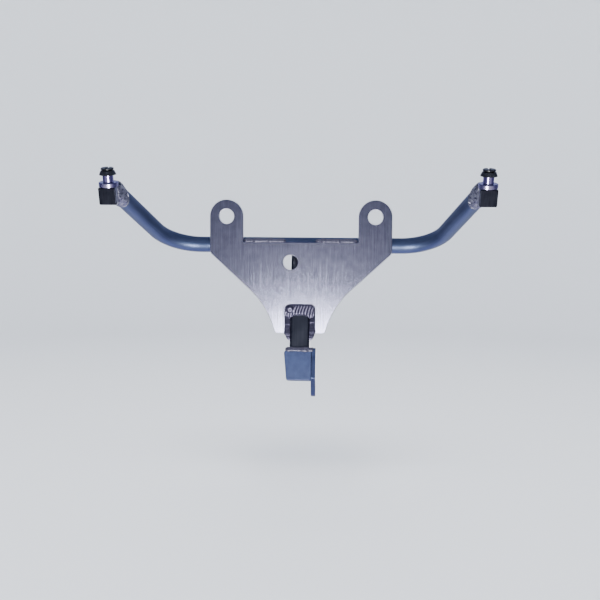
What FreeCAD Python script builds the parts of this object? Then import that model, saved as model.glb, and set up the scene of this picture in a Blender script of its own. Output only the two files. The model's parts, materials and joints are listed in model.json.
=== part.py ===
"""Fairing stay bracket: a bent cross tube, a gauge plate, a square strut and a bolted foot, welded together.

Millimetres, +Z up, -Y toward the rider. The pieces are laid out from the headstock bolt's axis, and are then
moved so that the origin is midway between the two ear holes, on the plate's front face.
"""
import FreeCAD, Part
import math
import os

V = FreeCAD.Vector

# Centre strut: a square tube that leans back from the headstock bolt to the cross tube
strut_lean = 15.25            # degrees, top away from the rider
strut_size = 20.0
strut_wall = 2.0
strut_corner = 3.0            # outer corner radius
strut_overrun = 4.0           # strut's end past its contact line on the tube
strut_end_height = 9.0        # lower end above the bolt, along the strut
bolt_setback = 14.0           # bolt axis behind the strut's front face
notch_run = 81.8              # along the strut, from the bolt to where its face meets the plate's back

# Gauge plate
plate_thickness = 4.0
notch_width = 30.6
notch_depth = 29.3
notch_corner = 5.0
edge_above_tube = 2.9         # plate's top edge above the tube's centre line
ear_hole_spacing = 149.0
ear_hole_diameter = 15.0
ear_radius = 16.7
ear_rise = 25.5               # ear holes above the plate's top edge
ear_root_radius = 1.0
side_drop = 10.9              # straight side below the plate's top edge
side_radius = 6.0
knee_half_width = 33.2        # where the slanted side would meet the steep lobe side
knee_height = 27.3            # above the plate's lowest edge
knee_radius = 85.0
lobe_half_width = 25.0
lobe_radius = 4.0
lobe_inner_radius = 1.0
centre_hole_diameter = 15.0
centre_hole_offset = -10.0    # from the middle
centre_hole_drop = 20.2       # below the plate's top edge
edge_break = 0.4              # deburred edges of the sheet pieces

# Cross tube: one bend on each side, both in one plane that rises toward the rider
tube_diameter = 15.9
tube_wall = 2.0
bend_start = 100.4            # half the straight middle run
bend_radius = 43.0            # at the centre line
arm_turn = 74.6               # degrees turned by each bend
arm_rise = 26.5               # degrees, slope of the bend plane
arm_length = 73.9             # straight run from the bend to the end block

# Arm ends: block, turned boss, cup washer and screw on one axis that leans toward the rider
end_lean = 16.5               # degrees
block_width = 15.2
block_depth = 15.2
block_height = 15.4
block_edge_radius = 1.2
block_offset = 4.6            # block's middle outside the tube's end
boss_diameter = 17.2
boss_height = 3.9
boss_edge = 0.6
spigot_diameter = 9.4
spigot_height = 7.3
tapped_hole_depth = 11.0
washer_diameter = 15.2        # at the flared rim
washer_top_diameter = 12.0
washer_height = 2.8           # above the spigot
washer_drop = 0.8             # how far the rim hangs down past the spigot's top
washer_lip = 0.7              # thickness of the rim
cup_clearance = 0.3           # radial, round the spigot inside the rim
screw_head_diameter = 11.4
screw_neck_diameter = 9.0     # head where it meets the washer
screw_head_height = 2.4
screw_cone_height = 1.2       # flared part of the head
screw_head_edge = 0.5
slot_width = 1.6
slot_depth = 1.2
shank_diameter = 5.0
shank_clearance = 0.1         # radial, round the shank
shank_length = 12.0

# Foot: a plate lapped on the strut, and the lug that takes the headstock bolt
foot_thickness = 4.0
foot_bottom = 4.0             # above the bolt, along the strut
foot_height = 30.0
foot_top_reach = 15.3         # plate's free edge from the middle, at its top
foot_bottom_reach = 12.2      # the same at its bottom
foot_corner_radius = 2.5
foot_edge_radius = 1.4        # rounded edges of the plate's front face
lug_gap = 2.0                 # between the strut's side and the lug
lug_thickness = 4.6
lug_overlap = 3.0             # lug's top above the foot plate's top
lug_kink_height = 6.6         # where the lug's front edge turns back, above the bolt
lug_end_radius = 10.0
lug_corner_radius = 2.0
bolt_hole_diameter = 8.4

# Weld beads
top_bead_radius = 2.3
top_bead_gap = 16.0           # bare tube on each side of the middle
top_bead_sink = 1.4           # bead's axis in front of the plate's back face
top_bead_rise = 0.6           # bead's axis above the plate's top edge
notch_top_bead_radius = 6.2
notch_top_bead_drop = 5.0     # bead's axis below the notch's top
notch_side_bead_radius = 3.2
notch_bead_stand = 2.2        # how far the notch beads stand out of the plate's face
notch_bead_tail = 6.0         # side beads below the plate's lowest edge
notch_tail_radius = 1.0
foot_bead_radius = 2.8
foot_bead_stand = 1.7         # bead's axis in front of the strut's face
foot_bead_rise = 0.6          # bead's axis above the foot plate's top edge
strut_bead_radius = 2.2
strut_bead_stand = 0.7        # bead's axis in front of the strut's face
lug_bead_radius = 2.4
lug_bead_sink = 1.0           # bead's axis inside the strut's back face
lug_bead_margin = 3.0         # bead's ends inside the strut's lap in the foot
arm_bead_height = 1.8         # ring's thickness on the tube
arm_bead_width = 3.6
arm_root_gap = 1.0            # between the tube's end and the block, filled by the weld
arm_fillet_run = 9.0          # weld forward along the block's inner side
arm_fillet_reach = 8.0        # the same weld's root, inward from that side

# Worked-out places
lean = math.radians(strut_lean)
tube_radius = tube_diameter / 2
strut_front = -bolt_setback                     # in the strut's own frame
strut_side = strut_size / 2
plate_back = strut_front * math.cos(lean) + notch_run * math.sin(lean)
plate_front = plate_back - plate_thickness
notch_top = -strut_front * math.sin(lean) + notch_run * math.cos(lean)
notch_side = notch_width / 2
plate_bottom = notch_top - notch_depth
tube_y = plate_back + tube_radius
contact_run = tube_radius * (1 + math.cos(lean)) / math.sin(lean)
tube_z = notch_top + contact_run
plate_top = tube_z + edge_above_tube
strut_contact = notch_run + contact_run
ear_hole_z = plate_top + ear_rise
ear_hole_x = ear_hole_spacing / 2
ear_inner = ear_hole_x - ear_radius
foot_right = strut_side + lug_gap
foot_top = foot_bottom + foot_height
foot_front = strut_front - foot_thickness
block_top = block_height / 2
boss_top = block_top + boss_height
spigot_top = boss_top + spigot_height
washer_top = spigot_top + washer_height
shank_hole_radius = shank_diameter / 2 + shank_clearance
cut_margin = 1.0                                # cutters run on past the faces by this
same_point = 1e-6                               # points closer than this are one
cut_reach = 3 * tube_diameter                   # long enough to cut right across a mitred tube

STRUT_FRAME = FreeCAD.Placement(V(0, 0, 0), FreeCAD.Rotation(V(1, 0, 0), -strut_lean))
END_TURN = FreeCAD.Rotation(V(1, 0, 0), end_lean)
TO_ORIGIN = V(0, -plate_front, -ear_hole_z)


def in_xz(u, v):
    """Point of an upright outline that faces the rider."""
    return V(u, 0, v)


def in_yz(u, v):
    """Point of an upright outline that faces sideways."""
    return V(0, u, v)


def in_xy(u, v):
    """Point of a level outline."""
    return V(u, v, 0)


def rounded_outline(corners, to_point):
    """Closed wire through (u, v, radius) corners, each rounded as far as its two sides have room."""
    count = len(corners)
    points = [to_point(u, v) for u, v, radius in corners]
    sides = [points[(i + 1) % count] - points[i] for i in range(count)]
    halves = [(math.pi - sides[i - 1].getAngle(sides[i])) / 2 for i in range(count)]
    reaches = [radius / math.tan(half) for (u, v, radius), half in zip(corners, halves)]
    shares = []
    for i, side in enumerate(sides):
        wanted = reaches[i] + reaches[(i + 1) % count]
        shares.append(1.0 if wanted <= side.Length + same_point else side.Length / wanted)
    bends = []
    for i, here in enumerate(points):
        reach = reaches[i] * min(shares[i - 1], shares[i])
        to_before = V(sides[i - 1]).normalize() * -1
        to_after = V(sides[i]).normalize()
        radius = reach * math.tan(halves[i])
        inward = (to_before + to_after).normalize()
        nearest = here + inward * (radius / math.sin(halves[i]) - radius)
        bends.append((here + to_before * reach, nearest, here + to_after * reach))
    edges = []
    for i, (start, nearest, finish) in enumerate(bends):
        if start.distanceToPoint(finish) > same_point:
            edges.append(Part.Arc(start, nearest, finish).toShape())
        following = bends[(i + 1) % count][0]
        if finish.distanceToPoint(following) > same_point:
            edges.append(Part.LineSegment(finish, following).toShape())
    return Part.Wire(edges)


def placed(shape, frame):
    """Copy of a shape moved into a frame."""
    copy = shape.copy()
    copy.Placement = frame.multiply(copy.Placement)
    return copy


def bar(radius, start, finish):
    """Round bar between two points."""
    return Part.makeCylinder(radius, (finish - start).Length, start, finish - start)


def turned(profile):
    """Solid of revolution about Z from (radius, height) points joined by straight lines."""
    points = [V(r, 0, z) for r, z in profile]
    face = Part.Face(Part.makePolygon(points + points[:1]))
    return face.revolve(V(0, 0, 0), V(0, 0, 1), 360)


def deburr(sheet, front, back):
    """Break every edge that lies in the front or back face of a sheet, given by their Y."""
    def in_face(edge, y):
        return all(abs(vertex.Point.y - y) < same_point for vertex in edge.Vertexes)

    rims = [edge for edge in sheet.Edges if in_face(edge, front) or in_face(edge, back)]
    return sheet.makeChamfer(edge_break, rims)


def make_gauge_plate():
    """Sheet with two ears and a waist that narrows to two lobes, notched between the lobes for the strut."""
    ear_top = ear_hole_z + ear_radius
    side = ear_hole_x + ear_radius
    right = [
        (ear_inner, plate_top, ear_root_radius),
        (ear_inner, ear_top, ear_radius),
        (side, ear_top, ear_radius),
        (side, plate_top - side_drop, side_radius),
        (knee_half_width, plate_bottom + knee_height, knee_radius),
        (lobe_half_width, plate_bottom, lobe_radius),
        (notch_side, plate_bottom, lobe_inner_radius),
        (notch_side, notch_top, notch_corner),
    ]
    left = [(-x, z, radius) for x, z, radius in reversed(right)]
    sheet = Part.Face(rounded_outline(right + left, in_xz)).extrude(V(0, plate_thickness, 0))
    sheet.translate(V(0, plate_front, 0))
    holes = [
        (ear_hole_x, ear_hole_z, ear_hole_diameter),
        (-ear_hole_x, ear_hole_z, ear_hole_diameter),
        (centre_hole_offset, plate_top - centre_hole_drop, centre_hole_diameter),
    ]
    for x, z, diameter in holes:
        drill_start = V(x, plate_front - cut_margin, z)
        drill_end = V(x, plate_back + cut_margin, z)
        sheet = sheet.cut(bar(diameter / 2, drill_start, drill_end))
    return deburr(sheet, plate_front, plate_back)


def arm_line(side):
    """One arm's centre line: its bend's start, middle and end, the tube's end and its direction there."""
    rise = math.radians(arm_rise)
    turn = math.radians(arm_turn)
    outward = V(side, 0, 0)
    toward = V(0, -math.cos(rise), math.sin(rise))
    start = V(side * bend_start, tube_y, tube_z)

    def on_bend(angle):
        along = outward * math.sin(angle) + toward * (1 - math.cos(angle))
        return start + along * bend_radius

    direction = outward * math.cos(turn) + toward * math.sin(turn)
    bend_end = on_bend(turn)
    return start, on_bend(turn / 2), bend_end, bend_end + direction * arm_length, direction


def end_frame(side):
    """Frame of one arm end: origin amid the block's back face, Y away from the rider, Z along the screw."""
    return FreeCAD.Placement(arm_line(side)[3] + V(side * block_offset, 0, 0), END_TURN)


def screw_frame(side):
    """Frame of one screw: as the arm end's, with its origin amid the block."""
    return end_frame(side).multiply(FreeCAD.Placement(V(0, -block_depth / 2, 0), FreeCAD.Rotation()))


def swept_bar(radius):
    """Round bar along the whole tube, run on past both ends."""
    left = arm_line(-1)
    right = arm_line(1)
    left_end = left[3] + left[4] * cut_reach
    right_end = right[3] + right[4] * cut_reach
    path = Part.Wire([
        Part.LineSegment(left_end, left[2]).toShape(),
        Part.Arc(left[2], left[1], left[0]).toShape(),
        Part.LineSegment(left[0], right[0]).toShape(),
        Part.Arc(right[0], right[1], right[2]).toShape(),
        Part.LineSegment(right[2], right_end).toShape(),
    ])
    disc = Part.Face(Part.Wire(Part.makeCircle(radius, left_end, left[4])))
    return path.makePipe(disc)


def make_cross_tube():
    """Bent tube whose two ends are mitred along the back faces of the end blocks, clear of the bosses."""
    tube = swept_bar(tube_radius).cut(swept_bar(tube_radius - tube_wall))
    size = 2 * cut_reach
    waste = Part.makeBox(size, size, size, V(-cut_reach, arm_root_gap - size, -cut_reach))
    for side in (-1, 1):
        tube = tube.cut(placed(waste, end_frame(side)))
        tube = tube.cut(placed(boss_room(), screw_frame(side)))
    return tube


def square_bar(size, corner, low, high):
    """Square bar with rounded corners along the strut."""
    half = size / 2
    corners = [(x, y, corner) for x, y in ((-half, -half), (half, -half), (half, half), (-half, half))]
    section = Part.Face(rounded_outline(corners, in_xy))
    solid = section.extrude(V(0, 0, high - low))
    solid.translate(V(0, strut_front + strut_side, low))
    return solid


def strut_envelope():
    """Strut with no hollow, in its own frame."""
    return square_bar(strut_size, strut_corner, strut_end_height, strut_contact + strut_overrun)


def make_centre_strut():
    """Square tube from inside the foot up to the back of the cross tube, open at both ends."""
    low = strut_end_height - cut_margin
    high = strut_contact + strut_overrun + cut_margin
    hollow = square_bar(strut_size - 2 * strut_wall, strut_corner / 2, low, high)
    return placed(strut_envelope().cut(hollow), STRUT_FRAME)


def make_foot_plate():
    """Flat plate lapped on the strut's front face, its free edge slanted."""
    corners = [
        (foot_right, foot_bottom, 0.0),
        (foot_right, foot_top, 0.0),
        (-foot_top_reach, foot_top, foot_corner_radius),
        (-foot_bottom_reach, foot_bottom, foot_corner_radius),
    ]
    plate = Part.Face(rounded_outline(corners, in_xz)).extrude(V(0, foot_thickness, 0))
    plate.translate(V(0, foot_front, 0))
    front = min(plate.Faces, key=lambda face: face.CenterOfMass.y)
    free_edges = [edge for edge in front.Edges if abs(edge.CenterOfMass.x - foot_right) > same_point]
    return placed(plate.makeFillet(foot_edge_radius, free_edges), STRUT_FRAME)


def make_headstock_lug():
    """Lug beside the foot plate: straight front edge, then a slant to a round end about the bolt hole."""
    kink = V(foot_front, lug_kink_height, 0)
    touch_angle = math.atan2(kink.y, kink.x) + math.acos(lug_end_radius / kink.Length)
    touch = V(math.cos(touch_angle), math.sin(touch_angle), 0) * lug_end_radius
    slope = (touch.y - kink.y) / (touch.x - kink.x)
    lug_top = foot_top + lug_overlap
    corners = [
        (foot_front, lug_top, lug_corner_radius),
        (foot_front, lug_kink_height, lug_corner_radius),
        (lug_end_radius, lug_kink_height + slope * (lug_end_radius - foot_front), lug_end_radius),
        (lug_end_radius, lug_top, lug_corner_radius),
    ]
    lug = Part.Face(rounded_outline(corners, in_yz)).extrude(V(lug_thickness, 0, 0))
    lug = lug.cut(bar(bolt_hole_diameter / 2, V(-cut_margin, 0, 0), V(lug_thickness + cut_margin, 0, 0)))
    lug.translate(V(foot_right, 0, 0))
    return placed(lug, STRUT_FRAME)


def make_end_block():
    """Square block behind which the arm ends, its back face on the end frame's origin."""
    corner = V(-block_width / 2, -block_depth, -block_top)
    block = Part.makeBox(block_width, block_depth, block_height, corner)
    long_edges = [edge for edge in block.Edges if abs(edge.tangentAt(edge.FirstParameter).y) > 0.5]
    return block.makeFillet(block_edge_radius, long_edges)


def boss_room():
    """Round space that a boss's flange takes above the block."""
    return bar(boss_diameter / 2, V(0, 0, block_top), V(0, 0, spigot_top))


def make_boss():
    """Turned flange and spigot with a tapped hole, standing on the block."""
    flange = boss_diameter / 2
    hole_floor = spigot_top - tapped_hole_depth
    boss = turned([
        (0, block_top),
        (flange, block_top),
        (flange, boss_top - boss_edge),
        (flange - boss_edge, boss_top),
        (spigot_diameter / 2, boss_top),
        (spigot_diameter / 2, spigot_top),
        (0, spigot_top),
    ])
    return boss.cut(bar(shank_hole_radius, V(0, 0, hole_floor), V(0, 0, spigot_top + cut_margin)))


def make_cup_washer():
    """Flared cup seated on the spigot, its rim hanging down round the spigot's top."""
    rim = washer_diameter / 2
    rim_bottom = spigot_top - washer_drop
    return turned([
        (shank_hole_radius, spigot_top),
        (spigot_diameter / 2 + cup_clearance, spigot_top),
        (rim - washer_lip, rim_bottom),
        (rim, rim_bottom),
        (washer_top_diameter / 2, washer_top),
        (shank_hole_radius, washer_top),
    ])


def make_screw():
    """Slotted screw: flared head on the washer, shank through it into the boss."""
    rim = screw_head_diameter / 2
    head_top = washer_top + screw_head_height
    screw = turned([
        (0, washer_top - shank_length),
        (shank_diameter / 2, washer_top - shank_length),
        (shank_diameter / 2, washer_top),
        (screw_neck_diameter / 2, washer_top),
        (rim, washer_top + screw_cone_height),
        (rim, head_top - screw_head_edge),
        (rim - screw_head_edge, head_top),
        (0, head_top),
    ])
    slot_run = 2 * screw_head_diameter
    slot_corner = V(-slot_width / 2, -slot_run / 2, head_top - slot_depth)
    return screw.cut(Part.makeBox(slot_width, slot_run, slot_depth + cut_margin, slot_corner))


def make_arm_weld(side):
    """Cup of weld on one tube end against the block's back face, with a fillet along the block's inner side."""
    centre = V(-side * block_offset, 0, 0)
    along = END_TURN.inverted().multVec(arm_line(side)[4]) * cut_reach

    def mitred_bar(radius, low, high):
        slab = Part.makeBox(2 * cut_reach, high - low, 2 * cut_reach, V(-cut_reach, low, -cut_reach))
        return bar(radius, centre - along, centre + along).common(slab)

    inner = -side * block_width / 2
    wedge = Part.Face(Part.makePolygon([
        V(inner, 0, -block_top),
        V(inner, -arm_fillet_run, -block_top),
        V(inner - side * arm_fillet_reach, 0, -block_top),
        V(inner, 0, -block_top),
    ])).extrude(V(0, 0, block_height))
    fillet = bar(tube_radius + arm_bead_height, centre - along, centre + along).common(wedge)
    weld = mitred_bar(tube_radius + arm_bead_height, 0, arm_bead_width).fuse(fillet)
    weld = weld.cut(mitred_bar(tube_radius, arm_root_gap, arm_bead_width + cut_margin))
    return placed(weld, end_frame(side)).cut(placed(boss_room(), screw_frame(side)))


def make_notch_weld():
    """Heavy bead over the strut in the notch, with a lighter run down each side that tails off below."""
    top_y = plate_front + notch_top_bead_radius - notch_bead_stand
    side_y = plate_front + notch_side_bead_radius - notch_bead_stand
    top_z = notch_top - notch_top_bead_drop
    weld = bar(notch_top_bead_radius, V(-notch_side, top_y, top_z), V(notch_side, top_y, top_z))
    middle = (notch_side + strut_side) / 2
    for side in (-1, 1):
        low = V(side * middle, side_y, plate_bottom)
        tail = V(side * strut_side, side_y, plate_bottom - notch_bead_tail)
        run = bar(notch_side_bead_radius, low, V(side * middle, side_y, top_z))
        taper = Part.makeCone(notch_side_bead_radius, notch_tail_radius, (tail - low).Length, low, tail - low)
        weld = weld.multiFuse([run, taper])
    return weld.cut(placed(strut_envelope(), STRUT_FRAME))


def make_top_weld(side):
    """Stitch bead in the groove between the plate's top edge and the tube."""
    bead_y = plate_back - top_bead_sink
    bead_z = plate_top + top_bead_rise
    outer = ear_inner - ear_root_radius
    return bar(top_bead_radius, V(side * top_bead_gap, bead_y, bead_z), V(side * outer, bead_y, bead_z))


def make_foot_top_weld():
    """Bead along the foot plate's top edge, on the strut's face."""
    bead_y = strut_front - foot_bead_stand
    bead_z = foot_top + foot_bead_rise
    reach = strut_side - strut_corner
    return placed(bar(foot_bead_radius, V(-reach, bead_y, bead_z), V(reach, bead_y, bead_z)), STRUT_FRAME)


def make_strut_top_weld():
    """Bead in the groove above the line where the strut touches the tube."""
    bead_y = strut_front - strut_bead_stand
    bead_z = strut_contact + strut_overrun
    reach = strut_side - strut_corner
    return placed(bar(strut_bead_radius, V(-reach, bead_y, bead_z), V(reach, bead_y, bead_z)), STRUT_FRAME)


def make_lug_weld():
    """Bead that closes the gap between the strut and the lug, on the side away from the rider."""
    bead_x = strut_side + lug_gap / 2
    bead_y = strut_front + strut_size - lug_bead_sink
    low = strut_end_height + lug_bead_margin
    high = foot_top - lug_bead_margin
    return placed(bar(lug_bead_radius, V(bead_x, bead_y, low), V(bead_x, bead_y, high)), STRUT_FRAME)


def build():
    """All pieces by name, laid out from the headstock bolt, with the welds trimmed to what they join."""
    pieces = {
        "gauge_plate": make_gauge_plate(),
        "cross_tube": make_cross_tube(),
        "centre_strut": make_centre_strut(),
        "foot_plate": make_foot_plate(),
        "headstock_lug": make_headstock_lug(),
    }
    for name, side in (("left", -1), ("right", 1)):
        pieces[name + "_end_block"] = placed(make_end_block(), end_frame(side))
        pieces[name + "_boss"] = placed(make_boss(), screw_frame(side))
        pieces[name + "_cup_washer"] = placed(make_cup_washer(), screw_frame(side))
        pieces[name + "_screw"] = placed(make_screw(), screw_frame(side))
        pieces[name + "_arm_weld"] = make_arm_weld(side)
    welds = {
        "notch_weld": (make_notch_weld(), ("gauge_plate",)),
        "left_top_weld": (make_top_weld(-1), ("gauge_plate", "cross_tube")),
        "right_top_weld": (make_top_weld(1), ("gauge_plate", "cross_tube")),
        "foot_top_weld": (make_foot_top_weld(), ("foot_plate", "centre_strut", "headstock_lug")),
        "strut_top_weld": (make_strut_top_weld(), ("cross_tube", "centre_strut")),
        "lug_weld": (make_lug_weld(), ("centre_strut", "headstock_lug")),
    }
    for name, (weld, neighbours) in welds.items():
        for neighbour in neighbours:
            weld = weld.cut(pieces[neighbour])
        pieces[name] = weld.removeSplitter()
    return pieces


os.makedirs("parts", exist_ok=True)
for node, shape in build().items():
    shape.translate(TO_ORIGIN)
    shape.exportStep("parts/" + node + ".step")
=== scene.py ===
"""Looks of the fairing stay bracket: finishes, bent and turned metal, rippled welds, studio and camera.

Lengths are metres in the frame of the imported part: +X to the rider's right, -Y toward the rider, +Z up.
The origin is midway between the two ear holes, on the gauge plate's front face.
"""
import json
import logging
import math
from dataclasses import dataclass, replace
from enum import Enum
from typing import Optional, Sequence, Union

import bmesh
import bpy
import numpy as np
from mathutils import Matrix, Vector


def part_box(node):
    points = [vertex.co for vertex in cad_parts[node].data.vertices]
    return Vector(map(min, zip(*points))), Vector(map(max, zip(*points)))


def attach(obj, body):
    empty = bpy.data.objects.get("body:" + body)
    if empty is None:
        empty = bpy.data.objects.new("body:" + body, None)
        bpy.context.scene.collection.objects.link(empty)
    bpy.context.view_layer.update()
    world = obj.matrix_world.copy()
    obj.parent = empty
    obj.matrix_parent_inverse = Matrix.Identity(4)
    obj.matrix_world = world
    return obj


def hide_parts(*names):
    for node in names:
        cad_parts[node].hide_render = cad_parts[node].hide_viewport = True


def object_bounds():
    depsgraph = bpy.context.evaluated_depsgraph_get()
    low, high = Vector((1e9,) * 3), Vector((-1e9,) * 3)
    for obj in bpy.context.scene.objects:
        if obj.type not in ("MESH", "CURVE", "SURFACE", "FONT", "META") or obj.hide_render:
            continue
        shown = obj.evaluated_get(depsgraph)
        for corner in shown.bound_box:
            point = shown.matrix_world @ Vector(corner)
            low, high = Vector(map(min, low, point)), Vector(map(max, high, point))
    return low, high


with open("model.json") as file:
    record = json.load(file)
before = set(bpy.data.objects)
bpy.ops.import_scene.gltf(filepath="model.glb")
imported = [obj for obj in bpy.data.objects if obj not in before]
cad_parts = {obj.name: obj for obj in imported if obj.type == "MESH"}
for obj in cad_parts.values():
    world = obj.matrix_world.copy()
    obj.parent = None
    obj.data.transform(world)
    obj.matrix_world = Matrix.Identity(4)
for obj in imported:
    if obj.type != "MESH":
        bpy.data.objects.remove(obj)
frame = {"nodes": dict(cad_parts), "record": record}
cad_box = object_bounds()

Points = np.ndarray
Triple = tuple[float, float, float]
Socket = bpy.types.NodeSocket
MM = 0.001
BODY = "root"
SHARP_ANGLE = math.radians(38.0)  # least angle between two faces that is shaded as an edge
GUARD = 0.12 * MM                 # from a corner's arc to the extra point beside it
NOISE_LOW, NOISE_HIGH = 0.3, 0.7  # usual range of a noise value
LINE_OCTAVES = 3.0                # finer noise in a metal's lines
CLOUD_OCTAVES = 2.0               # finer noise in its patches
CREST_MEAN = 0.8                  # taken off a ripple's half-round crest
LEAST_TAPER = 0.03                # size of a bead's very end
log = logging.getLogger("fairing_stay")


class Side(Enum):
    """The two sides of the bracket, by the sign of X."""

    LEFT = -1
    RIGHT = 1

    @property
    def word(self) -> str:
        """Side as it stands in the names of the pieces."""
        return self.name.lower()


class Slot(Enum):
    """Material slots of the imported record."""

    TUBE = "tube_satin"
    STRUT = "strut_dark"
    FOOT = "foot_satin"
    BLOCK = "block_dark"
    BOSS = "boss_bright"
    SCREW = "screw_black"
    WELD = "weld_metal"


class Coordinates(Enum):
    """Outputs of the Texture Coordinate node that the finishes read."""

    OBJECT = "Object"
    UV = "UV"


def unit(vectors: Points) -> Points:
    """Vectors divided by their lengths."""
    return vectors / np.linalg.norm(vectors, axis=-1, keepdims=True)


def grid(*values: Union[Points, float]) -> Points:
    """Arrays spread over one grid, as the last axis of one array."""
    return np.stack(np.broadcast_arrays(*values), axis=-1)


def lengths(line: Points) -> Points:
    """Length along a line at each of its points: the running sum of its steps."""
    return np.concatenate([[0.0], np.cumsum(np.linalg.norm(np.diff(line, axis=0), axis=1))])


def mount(name: str) -> dict:
    """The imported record's entry for one mount."""
    return next(entry for entry in frame["record"]["mounts"] if entry["name"] == name)


@dataclass(frozen=True)
class Place:
    """A local frame that is turned about X and then moved.

    Attributes:
        origin: where the local origin lies, in metres.
        turn: turn about X in degrees, by the right-hand rule.
    """

    origin: Triple = (0.0, 0.0, 0.0)
    turn: float = 0.0

    def put(self, local: Points) -> Points:
        """Local points in the part's frame: each is turned about X, and the origin is added."""
        return self.aim(local) + np.array(self.origin)

    def local(self, points: Points) -> Points:
        """Points in the local frame: the origin is taken off, and the turn is undone."""
        return replace(self, turn=-self.turn).aim(points - np.array(self.origin))

    def aim(self, local: Points) -> Points:
        """Local directions in the part's frame: each is turned about X.

        Args:
            local: directions in the local frame, in any array shape that ends in 3.

        Returns:
            The same array of directions in the part's frame.
        """
        angle = math.radians(self.turn)
        y = local[..., 1] * math.cos(angle) - local[..., 2] * math.sin(angle)
        z = local[..., 1] * math.sin(angle) + local[..., 2] * math.cos(angle)
        return np.stack([local[..., 0], y, z], axis=-1)


@dataclass(frozen=True)
class Corner:
    """One corner of an outline, with the radius that rounds it."""

    u: float
    v: float
    radius: float


def rectangle(half_u: float, half_v: float, middle_v: float, radius: float) -> list[Corner]:
    """Corners of a rectangle about a point on the V axis, counter-clockwise."""
    signs = ((-1, -1), (1, -1), (1, 1), (-1, 1))
    return [Corner(u * half_u, middle_v + v * half_v, radius) for u, v in signs]


def rounded_loop(corners: Sequence[Corner], steps: int) -> tuple[Points, Points]:
    """Closed outline with rounded corners, and its outward normals.

    A corner's arc is drawn about the point that lies one radius inside both of its sides, or outside them
    at a hollow corner. Each point is that centre plus the radius times a normal that turns evenly from the
    normal of the side before to that of the side after. One more point on each side, close to the arc,
    keeps the smooth shading of the arc off the flat sides.

    Args:
        corners: the corners in order, with the material on the left.
        steps: points on each corner's arc.

    Returns:
        Points and normals, each of shape (corners x (steps + 2), 2).
    """
    at = np.array([[corner.u, corner.v] for corner in corners])
    radius = np.array([corner.radius for corner in corners])[:, None]
    before = unit(at - np.roll(at, 1, axis=0))
    after = unit(np.roll(at, -1, axis=0) - at)
    normal_before = np.stack([before[:, 1], -before[:, 0]], axis=-1)
    normal_after = np.stack([after[:, 1], -after[:, 0]], axis=-1)
    cross = before[:, 0] * after[:, 1] - before[:, 1] * after[:, 0]
    turn = np.arctan2(cross, np.sum(before * after, axis=-1))
    way = np.where(turn < 0, -1.0, 1.0)[:, None]
    alike = np.sum(normal_before * normal_after, axis=-1, keepdims=True)
    centre = at - way * (normal_before + normal_after) / (1 + alike) * radius
    angle = (turn[:, None] * np.linspace(0, 1, steps))[..., None]
    sideways = np.stack([-normal_before[:, 1], normal_before[:, 0]], axis=-1)
    normal = normal_before[:, None, :] * np.cos(angle) + sideways[:, None, :] * np.sin(angle)
    points = centre[:, None, :] + (way * radius)[:, None, :] * normal
    first = points[:, :1] - before[:, None] * GUARD
    last = points[:, -1:] + after[:, None] * GUARD
    points = np.concatenate([first, points, last], axis=1)
    normal = np.concatenate([normal[:, :1], normal, normal[:, -1:]], axis=1)
    return points.reshape(-1, 2), normal.reshape(-1, 2)


def rim(edge: float, thickness: float, steps: int) -> Points:
    """Inset and depth across a sheet's edge: a quarter circle, the flat and another quarter circle.

    Args:
        edge: radius of the quarter circles.
        thickness: thickness of the sheet.
        steps: points on each quarter circle.

    Returns:
        Inset and depth from the front face to the back, of shape (2 x (steps + 1), 2).
    """
    angle = np.linspace(0.0, np.pi / 2, steps)
    inset = np.append(edge + GUARD, edge * (1 - np.sin(angle)))
    depth = np.append(0.0, edge * (1 - np.cos(angle)))
    return np.column_stack([np.append(inset, inset[::-1]), np.append(depth, thickness - depth[::-1])])


def stacked(outline: Points, normal: Points, levels: Points, axis: int) -> Points:
    """Rings of one outline, moved inward step by step and carried along an axis.

    A ring's point is the outline's point minus the inset times its normal, and the level is its place along
    the axis.

    Args:
        outline: points of the outline, of shape (n, 2).
        normal: their outward normals.
        levels: inset and level of each ring, of shape (rings, 2).
        axis: the axis that the level runs along: 0, 1 or 2.

    Returns:
        Points of shape (rings, n, 3).
    """
    flat = outline - levels[:, None, :1] * normal
    places = [flat[..., 0], flat[..., 1]]
    places.insert(axis, levels[:, 1:])
    return grid(*places)


def revolved(profile: Points, columns: int) -> Points:
    """A profile carried round Z: its radius times the cosine and the sine of each angle, at its height.

    Args:
        profile: radius and height of each point, of shape (n, 2).
        columns: points round the axis.

    Returns:
        Points of shape (n, columns, 3).
    """
    angle = np.linspace(0.0, 2 * np.pi, columns, endpoint=False)
    radius = profile[:, :1]
    return grid(radius * np.cos(angle), radius * np.sin(angle), profile[:, 1:])


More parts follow.
